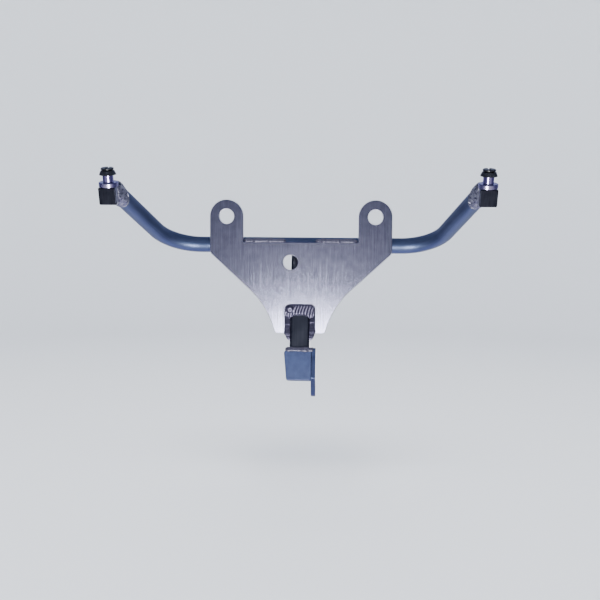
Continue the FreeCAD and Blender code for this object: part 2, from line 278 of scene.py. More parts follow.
@dataclass
class Skin:
    """A grid of points whose columns close on themselves, as a tube's do.

    Attributes:
        rows: points, of shape (rows, columns, 3).
        wrap: True where the last row joins the first, and False where both end rows get a flat cap.
        uv: texture places in metres, of shape (rows + wrap, columns + 1, 2), or None.
    """

    rows: Points
    wrap: bool = False
    uv: Optional[Points] = None

    def quads(self) -> Points:
        """Each row joined to the next, and each column to the next.

        Returns:
            Corner numbers of the quads, of shape (quads, 4).
        """
        count, columns = self.rows.shape[:2]
        row = np.arange(count if self.wrap else count - 1)[:, None]
        column = np.arange(columns)[None, :]
        next_row = (row + 1) % count
        next_column = (column + 1) % columns
        corners = [row * columns + column, row * columns + next_column,
                   next_row * columns + next_column, next_row * columns + column]
        return np.stack(corners, axis=-1).reshape(-1, 4)

    def quad_uv(self) -> Points:
        """Texture places of the quads' corners.

        Returns:
            The places in the order of the corner numbers, of shape (4 x quads, 2).
        """
        here = self.uv[:-1]
        beyond = self.uv[1:]
        corners = [here[:, :-1], here[:, 1:], beyond[:, 1:], beyond[:, :-1]]
        return np.stack(corners, axis=2).reshape(-1, 2)

    def caps(self) -> list[list[int]]:
        """The two flat end faces.

        Returns:
            Their corner numbers, or none where the rows close.
        """
        if self.wrap:
            return []
        count, columns = self.rows.shape[:2]
        return [list(range(columns))[::-1], list(range((count - 1) * columns, count * columns))]


def make_mesh(name: str, skins: Sequence[Skin]) -> bpy.types.Mesh:
    """One smooth mesh of several closed skins, with faces outward and sharp edges kept.

    Args:
        name: name of the mesh.
        skins: the closed surfaces that it holds.

    Returns:
        The new mesh, with a UV map where every skin has one.
    """
    points = [skin.rows.reshape(-1, 3) for skin in skins]
    offsets = np.cumsum([0] + [len(part) for part in points])
    faces: list[list[int]] = []
    places: list[Points] = []
    for skin, offset in zip(skins, offsets):
        caps = [[int(offset) + corner for corner in cap] for cap in skin.caps()]
        faces += (skin.quads() + offset).tolist() + caps
        if skin.uv is not None:
            spare = np.zeros((sum(len(cap) for cap in caps), 2))
            places.append(np.concatenate([skin.quad_uv(), spare]))
    mesh = bpy.data.meshes.new(name)
    mesh.from_pydata(np.concatenate(points).tolist(), [], faces)
    if len(places) == len(skins):
        layer = mesh.uv_layers.new(name="along")
        layer.data.foreach_set("uv", np.concatenate(places).astype(np.float32).ravel())
    work = bmesh.new()
    work.from_mesh(mesh)
    bmesh.ops.recalc_face_normals(work, faces=work.faces)
    work.to_mesh(mesh)
    work.free()
    mesh.shade_smooth()
    mesh.set_sharp_from_angle(angle=SHARP_ANGLE)
    return mesh


def new_object(name: str, data: bpy.types.ID) -> bpy.types.Object:
    """A new object of the scene, at the origin.

    Args:
        name: its name.
        data: its mesh, light or camera.

    Returns:
        The new object.
    """
    item = bpy.data.objects.new(name, data)
    bpy.context.scene.collection.objects.link(item)
    return item


def add_piece(name: str, skins: Sequence[Skin], finish: bpy.types.Material, slot: Slot,
              *nodes: str) -> bpy.types.Object:
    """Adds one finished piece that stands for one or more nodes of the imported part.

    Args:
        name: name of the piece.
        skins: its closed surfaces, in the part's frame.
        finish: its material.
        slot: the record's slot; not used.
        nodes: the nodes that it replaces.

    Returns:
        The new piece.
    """
    mesh = make_mesh(name, skins)
    mesh.materials.append(finish)
    piece = new_object(name, mesh)
    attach(piece, BODY)
    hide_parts(*nodes)
    log.info("%s: %d faces for %s", name, len(mesh.polygons), ", ".join(nodes))
    return piece


def face_values(piece: bpy.types.Object, what: str) -> Points:
    """One value of each face of a piece.

    Args:
        piece: the piece.
        what: "normal" or "center".

    Returns:
        The values, of shape (faces, 3).
    """
    values = np.empty(3 * len(piece.data.polygons))
    piece.data.polygons.foreach_get(what, values)
    return values.reshape(-1, 3)


def face_with(piece: bpy.types.Object, finish: bpy.types.Material, chosen: Points) -> None:
    """Gives a second finish to the chosen faces of a piece, which has its main finish already."""
    piece.data.materials.append(finish)
    piece.data.polygons.foreach_set("material_index", chosen.astype(np.int32))


def dress_node(node: str, finish: bpy.types.Material) -> None:
    """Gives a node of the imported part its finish, with its form as it is.

    Args:
        node: the node.
        finish: its material.
    """
    mesh = frame["nodes"][node].data
    mesh.materials.clear()
    mesh.materials.append(finish)
    log.info("%s: dressed with %s", node, finish.name)


class Shader:
    """One material's nodes, with short ways to add the patterns that the finishes share."""

    def __init__(self, name: str, colour: Triple, metallic: float, roughness: float) -> None:
        """Starts a material.

        Args:
            name: name of the material.
            colour: linear base colour.
            metallic: 1 for bare metal, 0 for a coating.
            roughness: roughness of the surface.
        """
        self.material = bpy.data.materials.new(name)
        self.material.use_nodes = True
        self.tree = self.material.node_tree
        self.surface = self.tree.nodes["Principled BSDF"]
        self.surface.inputs["Base Color"].default_value = (*colour, 1.0)
        self.surface.inputs["Metallic"].default_value = metallic
        self.surface.inputs["Roughness"].default_value = roughness

    def pattern(self, source: Coordinates, scale: Triple, detail: float) -> Socket:
        """Noise with its own number of grains per metre on each axis.

        Args:
            source: the coordinates that the pattern follows.
            scale: grains per metre along each axis.
            detail: octaves of finer noise.

        Returns:
            The noise value, near 0.5 on average.
        """
        place = self.tree.nodes.new("ShaderNodeTexCoord")
        mapping = self.tree.nodes.new("ShaderNodeMapping")
        mapping.inputs["Scale"].default_value = scale
        noise = self.tree.nodes.new("ShaderNodeTexNoise")
        noise.inputs["Scale"].default_value = 1.0
        noise.inputs["Detail"].default_value = detail
        self.tree.links.new(place.outputs[source.value], mapping.inputs["Vector"])
        self.tree.links.new(mapping.outputs["Vector"], noise.inputs["Vector"])
        return noise.outputs["Fac"]

    def blend(self, first: Socket, second: Socket, share: float) -> Socket:
        """Two values mixed.

        Args:
            first: the first value.
            second: the second value.
            share: the second one's share.

        Returns:
            The mixed value.
        """
        mix = self.tree.nodes.new("ShaderNodeMix")
        mix.data_type = "FLOAT"
        mix.inputs[0].default_value = share
        self.tree.links.new(first, mix.inputs[2])
        self.tree.links.new(second, mix.inputs[3])
        return mix.outputs[0]

    def tint(self, value: Socket, dark: Triple, light: Triple) -> None:
        """Base colour that follows a noise value over its usual range.

        Args:
            value: the noise value.
            dark: linear colour at the low end.
            light: linear colour at the high end.
        """
        ramp = self.tree.nodes.new("ShaderNodeValToRGB")
        stops = zip(ramp.color_ramp.elements, (NOISE_LOW, NOISE_HIGH), (dark, light))
        for stop, position, colour in stops:
            stop.position = position
            stop.color = (*colour, 1.0)
        self.tree.links.new(value, ramp.inputs["Fac"])
        self.tree.links.new(ramp.outputs["Color"], self.surface.inputs["Base Color"])

    def roughen(self, value: Socket, low: float, high: float) -> None:
        """Roughness that follows a noise value over its usual range.

        Args:
            value: the noise value.
            low: roughness at the low end.
            high: roughness at the high end.
        """
        stretch = self.tree.nodes.new("ShaderNodeMapRange")
        stretch.inputs["From Min"].default_value = NOISE_LOW
        stretch.inputs["From Max"].default_value = NOISE_HIGH
        stretch.inputs["To Min"].default_value = low
        stretch.inputs["To Max"].default_value = high
        self.tree.links.new(value, stretch.inputs["Value"])
        self.tree.links.new(stretch.outputs["Result"], self.surface.inputs["Roughness"])

    def emboss(self, value: Socket, depth: float, strength: float) -> None:
        """Bump from a noise value.

        Args:
            value: the noise value.
            depth: depth in metres.
            strength: strength of the bump.
        """
        bump = self.tree.nodes.new("ShaderNodeBump")
        bump.inputs["Distance"].default_value = depth
        bump.inputs["Strength"].default_value = strength
        self.tree.links.new(value, bump.inputs["Height"])
        self.tree.links.new(bump.outputs["Normal"], self.surface.inputs["Normal"])


@dataclass(frozen=True)
class GrainedMetal:
    """Metal with fine parallel lines and broad cloudy patches.

    Attributes:
        name: name of the material.
        dark: linear base colour of the darker lines.
        light: linear base colour of the lighter lines.
        smooth: roughness of the smoothest lines.
        rough: roughness of the roughest lines.
        lines: grains per metre along each axis, low along the grain.
        clouds: grains per metre of the broad patches.
        cloud_share: how much the patches count against the lines.
        depth: depth of the lines in metres.
        strength: strength of their bump.
        source: the coordinates that the grain follows.
        metallic: 1 for bare metal, 0 for a coating.
    """

    name: str
    dark: Triple
    light: Triple
    smooth: float
    rough: float
    lines: Triple
    clouds: float = 60.0
    cloud_share: float = 0.4
    depth: float = 0.02 * MM
    strength: float = 0.3
    source: Coordinates = Coordinates.OBJECT
    metallic: float = 1.0

    def make(self) -> bpy.types.Material:
        """Lines and patches mixed set the colour and the roughness, and the lines alone the bump.

        Returns:
            The new material.
        """
        shader = Shader(self.name, self.light, self.metallic, self.rough)
        lines = shader.pattern(self.source, self.lines, LINE_OCTAVES)
        patches = shader.pattern(Coordinates.OBJECT, (self.clouds,) * 3, CLOUD_OCTAVES)
        mixed = shader.blend(lines, patches, self.cloud_share)
        shader.tint(mixed, self.dark, self.light)
        shader.roughen(mixed, self.smooth, self.rough)
        shader.emboss(lines, self.depth, self.strength)
        return shader.material


PLATE_FINISH = GrainedMetal(
    "plate_brushed", dark=(0.152, 0.154, 0.226), light=(0.274, 0.278, 0.384), smooth=0.205, rough=0.258,
    lines=(1100.0, 200.0, 24.0), clouds=160.0, cloud_share=0.30, depth=0.03 * MM, strength=0.5)
# Near-white base of the plate's rounded edges: partly bright filed metal, partly a painted highlight.
EDGE_HIGHLIGHT_FINISH = GrainedMetal(
    "plate_edge", dark=(0.80, 0.80, 0.86), light=(0.90, 0.90, 0.94), smooth=0.30, rough=0.40,
    lines=(900.0, 900.0, 900.0))
TUBE_FINISH = GrainedMetal(
    "tube_satin", dark=(0.072, 0.100, 0.190), light=(0.112, 0.143, 0.252), smooth=0.38, rough=0.46,
    lines=(900.0, 20.0, 1.0), clouds=40.0, cloud_share=0.5, depth=0.01 * MM, strength=0.15,
    source=Coordinates.UV, metallic=0.9)
# Near-black base of the whole strut: a painted dark reflection of the dark that its up-tilted front face
# mirrors.
STRUT_FINISH = GrainedMetal(
    "strut_dark", dark=(0.070, 0.074, 0.092), light=(0.104, 0.110, 0.134), smooth=0.26, rough=0.36,
    lines=(900.0, 60.0, 30.0), cloud_share=0.5, depth=0.01 * MM, strength=0.2)
LUG_FINISH = GrainedMetal(
    "lug_satin", dark=(0.034, 0.046, 0.108), light=(0.054, 0.074, 0.164), smooth=0.30, rough=0.40,
    lines=(500.0, 500.0, 120.0), clouds=90.0, cloud_share=0.5, depth=0.01 * MM, strength=0.2, metallic=0.75)
FOOT_FINISH = GrainedMetal(
    "foot_satin", dark=(0.030, 0.043, 0.110), light=(0.048, 0.071, 0.170), smooth=0.40, rough=0.50,
    lines=(300.0, 300.0, 120.0), clouds=140.0, cloud_share=0.6, metallic=0.35)
BLOCK_FINISH = GrainedMetal(
    "block_satin", dark=(0.40, 0.40, 0.48), light=(0.56, 0.56, 0.62), smooth=0.30, rough=0.42,
    lines=(500.0, 500.0, 500.0), clouds=120.0)
# Near-black base of the blocks' sawn faces toward the rider: a painted dark reflection.
SHADED_FACE_FINISH = GrainedMetal(
    "block_sawn", dark=(0.010, 0.011, 0.018), light=(0.027, 0.029, 0.040), smooth=0.38, rough=0.52,
    lines=(1100.0, 60.0, 60.0), clouds=180.0, cloud_share=0.3, depth=0.04 * MM, strength=0.5)
BOSS_FINISH = GrainedMetal(
    "boss_bright", dark=(0.30, 0.26, 0.48), light=(0.44, 0.40, 0.62), smooth=0.05, rough=0.11,
    lines=(1.0, 2600.0, 1.0), clouds=200.0, cloud_share=0.2, depth=0.01 * MM, source=Coordinates.UV)
# Lighter base of the flange's rim: a painted sheen; its higher roughness is the rougher turning.
FLANGE_SHEEN_FINISH = GrainedMetal(
    "flange_turned", dark=(0.34, 0.31, 0.50), light=(0.52, 0.49, 0.66), smooth=0.20, rough=0.30,
    lines=(1.0, 2600.0, 1.0), clouds=300.0, source=Coordinates.UV)
SCREW_FINISH = GrainedMetal(
    "screw_black", dark=(0.005, 0.006, 0.008), light=(0.012, 0.013, 0.018), smooth=0.26, rough=0.40,
    lines=(900.0, 900.0, 900.0), clouds=300.0, depth=0.01 * MM, strength=0.2, metallic=0.0)
NOTCH_FINISH = GrainedMetal(
    "notch_weld_metal", dark=(0.044, 0.041, 0.074), light=(0.112, 0.105, 0.158), smooth=0.26, rough=0.38,
    lines=(1400.0, 1400.0, 1400.0), clouds=500.0, depth=0.03 * MM, strength=0.35, metallic=0.88)
WELD_FINISH = GrainedMetal(
    "weld_metal", dark=(0.058, 0.057, 0.090), light=(0.128, 0.124, 0.172), smooth=0.32, rough=0.44,
    lines=(1400.0, 1400.0, 1400.0), clouds=500.0, depth=0.03 * MM, strength=0.35, metallic=0.65)
ARM_WELD_FINISH = GrainedMetal(
    "arm_weld_metal", dark=(0.055, 0.06, 0.11), light=(0.38, 0.38, 0.45), smooth=0.20, rough=0.36,
    lines=(340.0, 340.0, 340.0), clouds=800.0, cloud_share=0.25, depth=1.2 * MM, strength=0.9, metallic=0.8)


@dataclass
class GaugePlate:
    """The eared sheet, which keeps its packed form.

    Attributes:
        node: its node.
        flat: share of a normal along Y from which a face is one of the two flat sides.
    """

    node: str = "gauge_plate"
    flat: float = 0.98

    def dress(self) -> None:
        """Brushes the flat sides with an upright grain and gives the rounded edges a near-white base: partly
        bright filed metal, partly a painted highlight.
        """
        dress_node(self.node, PLATE_FINISH.make())
        sheet = frame["nodes"][self.node]
        face_with(sheet, EDGE_HIGHLIGHT_FINISH.make(), np.abs(face_values(sheet, "normal")[:, 1]) < self.flat)


@dataclass
class CrossTube:
    """The bent tube behind the plate.

    Attributes:
        radius: outer radius.
        bend_start: half of the straight middle run.
        bend_radius: bend radius at the centre line.
        arm_turn: degrees turned by each bend.
        arm_rise: degrees by which the bends' plane rises toward the rider.
        arm_length: straight run from a bend to its end block.
        end_run: last part of an arm, which the mitre shortens or lengthens.
        flattening: share by which a bend is flattened in its own plane.
        columns: points round the tube.
        straight_rows: rings along each straight run.
        bend_rows: rings along each bend.
    """

    radius: float = 7.95 * MM
    bend_start: float = 100.4 * MM
    bend_radius: float = 43.0 * MM
    arm_turn: float = 74.6
    arm_rise: float = 26.5
    arm_length: float = 73.9 * MM
    end_run: float = 11.13 * MM
    flattening: float = 0.03
    columns: int = 72
    straight_rows: int = 12
    bend_rows: int = 40

    def __post_init__(self) -> None:
        """Takes the tube's place from the plate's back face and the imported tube's lowest point."""
        self.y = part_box("gauge_plate")[1].y + self.radius
        self.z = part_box("cross_tube")[0].z + self.radius
        rise = math.radians(self.arm_rise)
        self.toward = np.array([0.0, -math.cos(rise), math.sin(rise)])
        self.upward = np.array([0.0, math.sin(rise), math.cos(rise)])
        self.turn = math.radians(self.arm_turn)
        self.arm_start = self.bend_start + self.bend_radius * self.turn
        self.half_length = self.arm_start + self.arm_length

    def line(self, s: Points) -> tuple[Points, Points, Points]:
        """Centre line by its length from the middle, negative to the left.

        A straight run, then an arc about a point on the toward side, then a straight run: the turn is the
        length past the bend's start over the bend radius, kept between none and the whole turn.

        Args:
            s: lengths along the line.

        Returns:
            Points, directions of travel and the turn at each point.
        """
        way = np.sign(s)
        length = np.abs(s)
        turn = np.clip((length - self.bend_start) / self.bend_radius, 0.0, self.turn)
        arm = np.maximum(length - self.arm_start, 0.0)
        straight = np.minimum(length, self.bend_start)
        out = straight + self.bend_radius * np.sin(turn) + arm * math.cos(self.turn)
        forth = self.bend_radius * (1 - np.cos(turn)) + arm * math.sin(self.turn)
        across = np.array([1.0, 0.0, 0.0])
        start = np.array([0.0, self.y, self.z])
        points = start + (way * out)[:, None] * across + forth[:, None] * self.toward
        heading = np.cos(turn)[:, None] * across + (way * np.sin(turn))[:, None] * self.toward
        return points, heading, turn

    def rings(self, s: Points) -> Points:
        """Rings of points round the centre line.

        A ring's point is the centre plus the radius times the cosine of its angle along the in-plane normal
        and the sine along the bend plane's normal. A bend flattens the first and widens the second a little.

        Args:
            s: lengths along the line.

        Returns:
            Points of shape (len(s), columns, 3).
        """
        points, heading, turn = self.line(s)
        normal = np.cross(self.upward, heading)
        bend = np.sin(np.pi * np.clip(turn / self.turn, 0.0, 1.0))[:, None, None] * self.flattening
        angle = np.linspace(0.0, 2 * np.pi, self.columns, endpoint=False)[None, :, None]
        flat = self.radius * (1 - bend) * np.cos(angle) * normal[:, None, :]
        tall = self.radius * (1 + bend / 2) * np.sin(angle) * self.upward
        return points[:, None, :] + flat + tall

    def mitred(self, end: "ArmEnd") -> tuple[Points, Points]:
        """An arm's last ring, slid along the arm until each point meets the plane of the block's back face.

        Args:
            end: the arm's end.

        Returns:
            The ring, and the direction along the arm toward the block.
        """
        way = end.side.value
        heading = self.line(np.array([way * self.half_length]))[1][0] * way
        ring = self.rings(np.array([way * (self.half_length - self.end_run)]))[0]
        plane = end.place.aim(np.array([0.0, 1.0, 0.0]))
        back = end.place.put(np.array([0.0, end.block_depth / 2, 0.0]))
        reach = (back - ring) @ plane / (heading @ plane)
        return ring + reach[..., None] * heading, heading

    def build(self, ends: Sequence["ArmEnd"]) -> None:
        """Sweeps the tube from block to block.

        Args:
            ends: the left and the right end.
        """
        half = np.concatenate([
            np.linspace(0.0, self.bend_start, self.straight_rows, endpoint=False),
            np.linspace(self.bend_start, self.arm_start, self.bend_rows, endpoint=False),
            np.linspace(self.arm_start, self.half_length - self.end_run, self.straight_rows),
        ])
        s = np.concatenate([-half[:0:-1], half])
        left, right = (self.mitred(end)[0] for end in ends)
        rows = np.concatenate([left[None], self.rings(s), right[None]])
        length = np.concatenate([[-self.half_length], s, [self.half_length]])
        around = np.linspace(0.0, 2 * np.pi * self.radius, self.columns + 1)
        skin = Skin(rows, uv=grid(around[None, :], length[:, None]))
        add_piece("bent_tube", [skin], TUBE_FINISH.make(), Slot.TUBE, "cross_tube")


@dataclass
class CentreStrut:
    """The square tube that leans back from the foot to the cross tube, open at both ends.

    Attributes:
        size: outer width of the square.
        wall: wall thickness.
        corner: outer corner radius.
        bolt_setback: how far the front face lies in front of the headstock bolt.
        low: lower end above the bolt, along the strut.
        lean: degrees that the strut leans away from the rider.
        edge: rounding of the sawn ends.
        arc_steps: points on each corner's arc.
    """

    size: float = 20.0 * MM
    wall: float = 2.0 * MM
    corner: float = 3.0 * MM
    bolt_setback: float = 14.0 * MM
    low: float = 9.0 * MM
    lean: float = 15.25
    edge: float = 0.4 * MM
    arc_steps: int = 9

    def __post_init__(self) -> None:
        """Takes the strut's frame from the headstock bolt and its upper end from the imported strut."""
        bolt = mount("headstock_bolt")["pos_m"]
        self.place = Place((0.0, bolt[1], bolt[2]), -self.lean)
        self.front = -self.bolt_setback
        self.back = self.front + self.size
        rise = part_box("centre_strut")[1].z - bolt[2]
        lean = math.radians(self.lean)
        self.high = (rise + self.front * math.sin(lean)) / math.cos(lean)

    def build(self) -> None:
        """Carries the section up the strut outside and down again inside, with both sawn ends broken."""
        half = self.size / 2
        outline, normal = rounded_loop(rectangle(half, half, self.front + half, self.corner), self.arc_steps)
        broken = self.edge + GUARD
        levels = np.array([
            (self.edge, self.low), (0.0, self.low + self.edge), (0.0, self.low + broken),
            (0.0, self.high - broken), (0.0, self.high - self.edge), (self.edge, self.high),
            (self.wall, self.high), (self.wall, self.low),
        ])
        skin = Skin(self.place.put(stacked(outline, normal, levels, 2)), wrap=True)
        add_piece("square_strut", [skin], STRUT_FINISH.make(), Slot.STRUT, "centre_strut")


@dataclass
class Foot:
    """The plate lapped on the strut's front face, and the lug beside it that takes the headstock bolt.

    Attributes:
        strut: the strut that carries both.
        thickness: thickness of the plate.
        bottom: plate's lower edge above the bolt, along the strut.
        height: height of the plate.
        top_reach: plate's free edge from the middle, at its top.
        bottom_reach: the same at its bottom.
        corner: corner radius of the free edge.
        lug_side_corner: corner radius of the side beside the lug.
        edge: rounding of the plate's edges.
        lug_gap: gap between the strut's side and the lug.
        lug_thickness: thickness of the lug.
        lug_overlap: lug's top above the plate's top.
        lug_kink: where the lug's front edge turns back, above the bolt.
        lug_end: radius of the lug's round end.
        lug_corner: radius of its other corners.
        lug_edge: rounding of the lug's edges.
        hole_radius: radius of the bolt hole.
        hole_edge: rounding of the bolt hole's edges.
        plate_steps: points on each arc of the plate's outline.
        lug_steps: points on each arc of the lug's outline.
        rim_steps: points across a rounded edge.
    """

    strut: CentreStrut
    thickness: float = 4.0 * MM
    bottom: float = 4.0 * MM
    height: float = 30.0 * MM
    top_reach: float = 15.3 * MM
    bottom_reach: float = 12.2 * MM
    corner: float = 2.5 * MM
    lug_side_corner: float = 0.3 * MM
    edge: float = 1.2 * MM
    lug_gap: float = 2.0 * MM
    lug_thickness: float = 4.6 * MM
    lug_overlap: float = 3.0 * MM
    lug_kink: float = 6.6 * MM
    lug_end: float = 10.0 * MM
    lug_corner: float = 2.0 * MM
    lug_edge: float = 0.6 * MM
    hole_radius: float = 4.2 * MM
    hole_edge: float = 0.3 * MM
    plate_steps: int = 10
    lug_steps: int = 14
    rim_steps: int = 6

    def __post_init__(self) -> None:
        """Works out the places that both pieces share."""
        self.top = self.bottom + self.height
        self.front = self.strut.front - self.thickness
        self.right = self.strut.size / 2 + self.lug_gap

    def build_plate(self) -> None:
        """Flat plate with round edges: its outline moved inward step by step over the edge of the sheet.

        The side beside the lug runs on into it, so that its round edge doesn't show.
        """
        outline, normal = rounded_loop([
            Corner(self.right + self.edge, self.bottom, self.lug_side_corner),
            Corner(self.right + self.edge, self.top, self.lug_side_corner),
            Corner(-self.top_reach, self.top, self.corner),
            Corner(-self.bottom_reach, self.bottom, self.corner),
        ], self.plate_steps)
        levels = rim(self.edge, self.thickness, self.rim_steps) + (0.0, self.front)
        skin = Skin(self.strut.place.put(stacked(outline, normal, levels, 1)))
        add_piece("lapped_foot", [skin], FOOT_FINISH.make(), Slot.FOOT, "foot_plate")

    def lug_corners(self) -> list[Corner]:
        """Lug's outline: a straight front edge, then a slant that runs tangent to the round end.

        Returns:
            Its corners, depth first and height second.
        """
        kink = np.array([self.front, self.lug_kink])
        touch = math.atan2(kink[1], kink[0]) + math.acos(self.lug_end / np.linalg.norm(kink))
        meet = self.lug_end * np.array([math.cos(touch), math.sin(touch)])
        slope = (meet[1] - kink[1]) / (meet[0] - kink[0])
        top = self.top + self.lug_overlap
        return [
            Corner(self.front, top, self.lug_corner),
            Corner(self.front, self.lug_kink, self.lug_corner),
            Corner(self.lug_end, self.lug_kink + slope * (self.lug_end - self.front), self.lug_end),
            Corner(self.lug_end, top, self.lug_corner),
        ]

    def build_lug(self) -> None:
        """Flat lug with a hole: rings run over the rim from face to face and back through the hole."""
        outline, normal = rounded_loop(self.lug_corners(), self.lug_steps)
        ray = unit(outline)
        shift = (0.0, self.right)
        outside = rim(self.lug_edge, self.lug_thickness, self.rim_steps) + shift
        inside = rim(self.hole_edge, self.lug_thickness, self.rim_steps)[::-1] + shift
        rows = np.concatenate([
            stacked(outline, normal, outside, 0), stacked(ray * self.hole_radius, -ray, inside, 0)])
        skin = Skin(self.strut.place.put(rows), wrap=True)
        add_piece("bolt_lug", [skin], LUG_FINISH.make(), Slot.STRUT, "headstock_lug")

    def build(self) -> None:
        """Builds the plate and the lug."""
        self.build_plate()
        self.build_lug()


@dataclass
class ArmEnd:
    """One arm's end: a square block, a turned boss, a cup washer and a screw on one leaning axis.

    Attributes:
        side: the side that it is on.
        block_width: width of the block.
        block_depth: depth of the block.
        block_height: height of the block.
        block_edge: radius of its long edges.
        face_edge: rounding of its sawn faces.
        face_share: share of a normal toward the rider from which a face of the block gets the near-black
            base, a painted dark reflection.
        boss_radius: radius of the boss's flange.
        boss_height: height of the flange.
        boss_edge: rounding of the flange.
        rim_depth: faces this close to the flange's radius are its rim.
        spigot_radius: radius of the spigot.
        spigot_height: height of the spigot.
        spigot_root: rounding at the spigot's foot.
        hole_radius: radius of the tapped hole.
        hole_depth: depth of the tapped hole.
        washer_radius: radius of the washer's flared rim.
        washer_top_radius: radius of the washer's top.
        washer_height: height of the washer above the spigot.
        washer_drop: how far its rim hangs down past the spigot's top.
        washer_lip: thickness of its rim.
        washer_gap: gap round the spigot inside the washer.
        washer_edge: rounding of the washer's top.
        turned_edge: rounding of the other outer corners of turned pieces.
        bore_edge: rounding of the inner corners of turned pieces.
        pole: radius at which a turned piece stops short of the axis.
        pole_edge: rounding there.
        columns: points round a turned piece.
        turned_steps: points on each arc of a turned profile.
        block_steps: points on each arc of the block's outline.
        face_steps: points across the block's rounded face edge.
    """

    side: Side
    block_width: float = 15.7 * MM
    block_depth: float = 15.2 * MM
    block_height: float = 15.4 * MM
    block_edge: float = 1.2 * MM
    face_edge: float = 0.9 * MM
    face_share: float = 0.35
    boss_radius: float = 8.6 * MM
    boss_height: float = 3.9 * MM
    boss_edge: float = 0.7 * MM
    rim_depth: float = 0.3 * MM
    spigot_radius: float = 4.7 * MM
    spigot_height: float = 7.3 * MM
    spigot_root: float = 0.5 * MM
    hole_radius: float = 2.6 * MM
    hole_depth: float = 11.0 * MM
    washer_radius: float = 7.6 * MM
    washer_top_radius: float = 6.0 * MM
    washer_height: float = 2.8 * MM
    washer_drop: float = 0.8 * MM
    washer_lip: float = 0.7 * MM
    washer_gap: float = 0.3 * MM
    washer_edge: float = 0.5 * MM
    turned_edge: float = 0.2 * MM
    bore_edge: float = 0.1 * MM
    pole: float = 0.02 * MM
    pole_edge: float = 0.005 * MM
    columns: int = 96
    turned_steps: int = 6
    block_steps: int = 8
    face_steps: int = 5

    def __post_init__(self) -> None:
        """Takes the screw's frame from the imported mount, which lies on top of the flange."""
        seat = mount(f"{self.side.word}_fairing_seat")
        axis = np.array(seat["axis"])
        self.boss_top = self.block_height / 2 + self.boss_height
        middle = np.array(seat["pos_m"]) - axis * self.boss_top
        self.place = Place(tuple(middle), math.degrees(math.atan2(-axis[1], axis[2])))
        self.spigot_top = self.boss_top + self.spigot_height

    def turned(self, corners: Sequence[Corner]) -> Skin:
        """A closed profile of radius and height, carried round the screw's axis.

        Args:
            corners: the profile's corners, with the material on the left.

        Returns:
            The surface, with texture places round the axis and along the profile.
        """
        profile = rounded_loop(corners, self.turned_steps)[0]
        along = lengths(np.concatenate([profile, profile[:1]]))
        around = np.linspace(0.0, 2 * np.pi * self.spigot_radius, self.columns + 1)
        rows = self.place.put(revolved(profile, self.columns))
        return Skin(rows, wrap=True, uv=grid(around[None, :], along[:, None]))

    def build_block(self) -> None:
        """Square block with satin sides and a sawn face painted near-black as a dark reflection: a rounded
        outline carried from face to face.
        """
        corners = rectangle(self.block_width / 2, self.block_height / 2, 0.0, self.block_edge)
        outline, normal = rounded_loop(corners, self.block_steps)
        levels = rim(self.face_edge, self.block_depth, self.face_steps) - (0.0, self.block_depth / 2)
        skin = Skin(self.place.put(stacked(outline, normal, levels, 1)))
        name = f"{self.side.word}_sawn_block"
        block = add_piece(name, [skin], BLOCK_FINISH.make(), Slot.BLOCK, f"{self.side.word}_end_block")
        forward = self.place.aim(np.array([0.0, -1.0, 0.0]))
        # The faces toward the rider get the near-black base of painted dark reflection.
        face_with(block, SHADED_FACE_FINISH.make(), face_values(block, "normal") @ forward > self.face_share)

    def build_boss(self) -> None:
        """Bright turned spigot on a satin flange, with a tapped hole down the spigot. The flange's rim is
        rougher, and its lighter base is a painted sheen.
        """
        base = self.block_height / 2
        floor = self.spigot_top - self.hole_depth
        skin = self.turned([
            Corner(self.pole, base, self.pole_edge),
            Corner(self.boss_radius, base, self.turned_edge),
            Corner(self.boss_radius, self.boss_top, self.boss_edge),
            Corner(self.spigot_radius, self.boss_top, self.spigot_root),
            Corner(self.spigot_radius, self.spigot_top, self.turned_edge),
            Corner(self.hole_radius, self.spigot_top, self.turned_edge),
            Corner(self.hole_radius, floor, self.bore_edge),
            Corner(self.pole, floor, self.pole_edge),
        ])
        name = f"{self.side.word}_turned_boss"
        boss = add_piece(name, [skin], BOSS_FINISH.make(), Slot.BOSS, f"{self.side.word}_boss")
        local = self.place.local(face_values(boss, "center"))
        on_rim = np.hypot(local[:, 0], local[:, 1]) > self.boss_radius - self.rim_depth
        # The rim's faces get the rougher finish with the lighter base of painted sheen.
        face_with(boss, FLANGE_SHEEN_FINISH.make(), on_rim)

    def build_head(self) -> None:
        """Flared black cup under the screw, and the screw itself as packed."""
        top = self.spigot_top + self.washer_height
        low = self.spigot_top - self.washer_drop
        skin = self.turned([
            Corner(self.hole_radius, self.spigot_top, self.bore_edge),
            Corner(self.spigot_radius + self.washer_gap, self.spigot_top, self.bore_edge),
            Corner(self.washer_radius - self.washer_lip, low, self.turned_edge),
            Corner(self.washer_radius, low, self.turned_edge),
            Corner(self.washer_top_radius, top, self.washer_edge),
            Corner(self.hole_radius, top, self.bore_edge),
        ])
        black = SCREW_FINISH.make()
        name = f"{self.side.word}_black_washer"
        add_piece(name, [skin], black, Slot.SCREW, f"{self.side.word}_cup_washer")
        dress_node(f"{self.side.word}_screw", black)

    def build(self) -> None:
        """Builds the block, the boss and the head."""
        self.build_block()
        self.build_boss()
        self.build_head()


def crests(turn: Points) -> Points:
    """Half-round crests between sharp valleys, one for each whole turn, near 0 on average."""
    saw = 2 * (turn - np.floor(turn)) - 1
    return np.sqrt(np.maximum(1 - saw ** 2, 0.0)) - CREST_MEAN


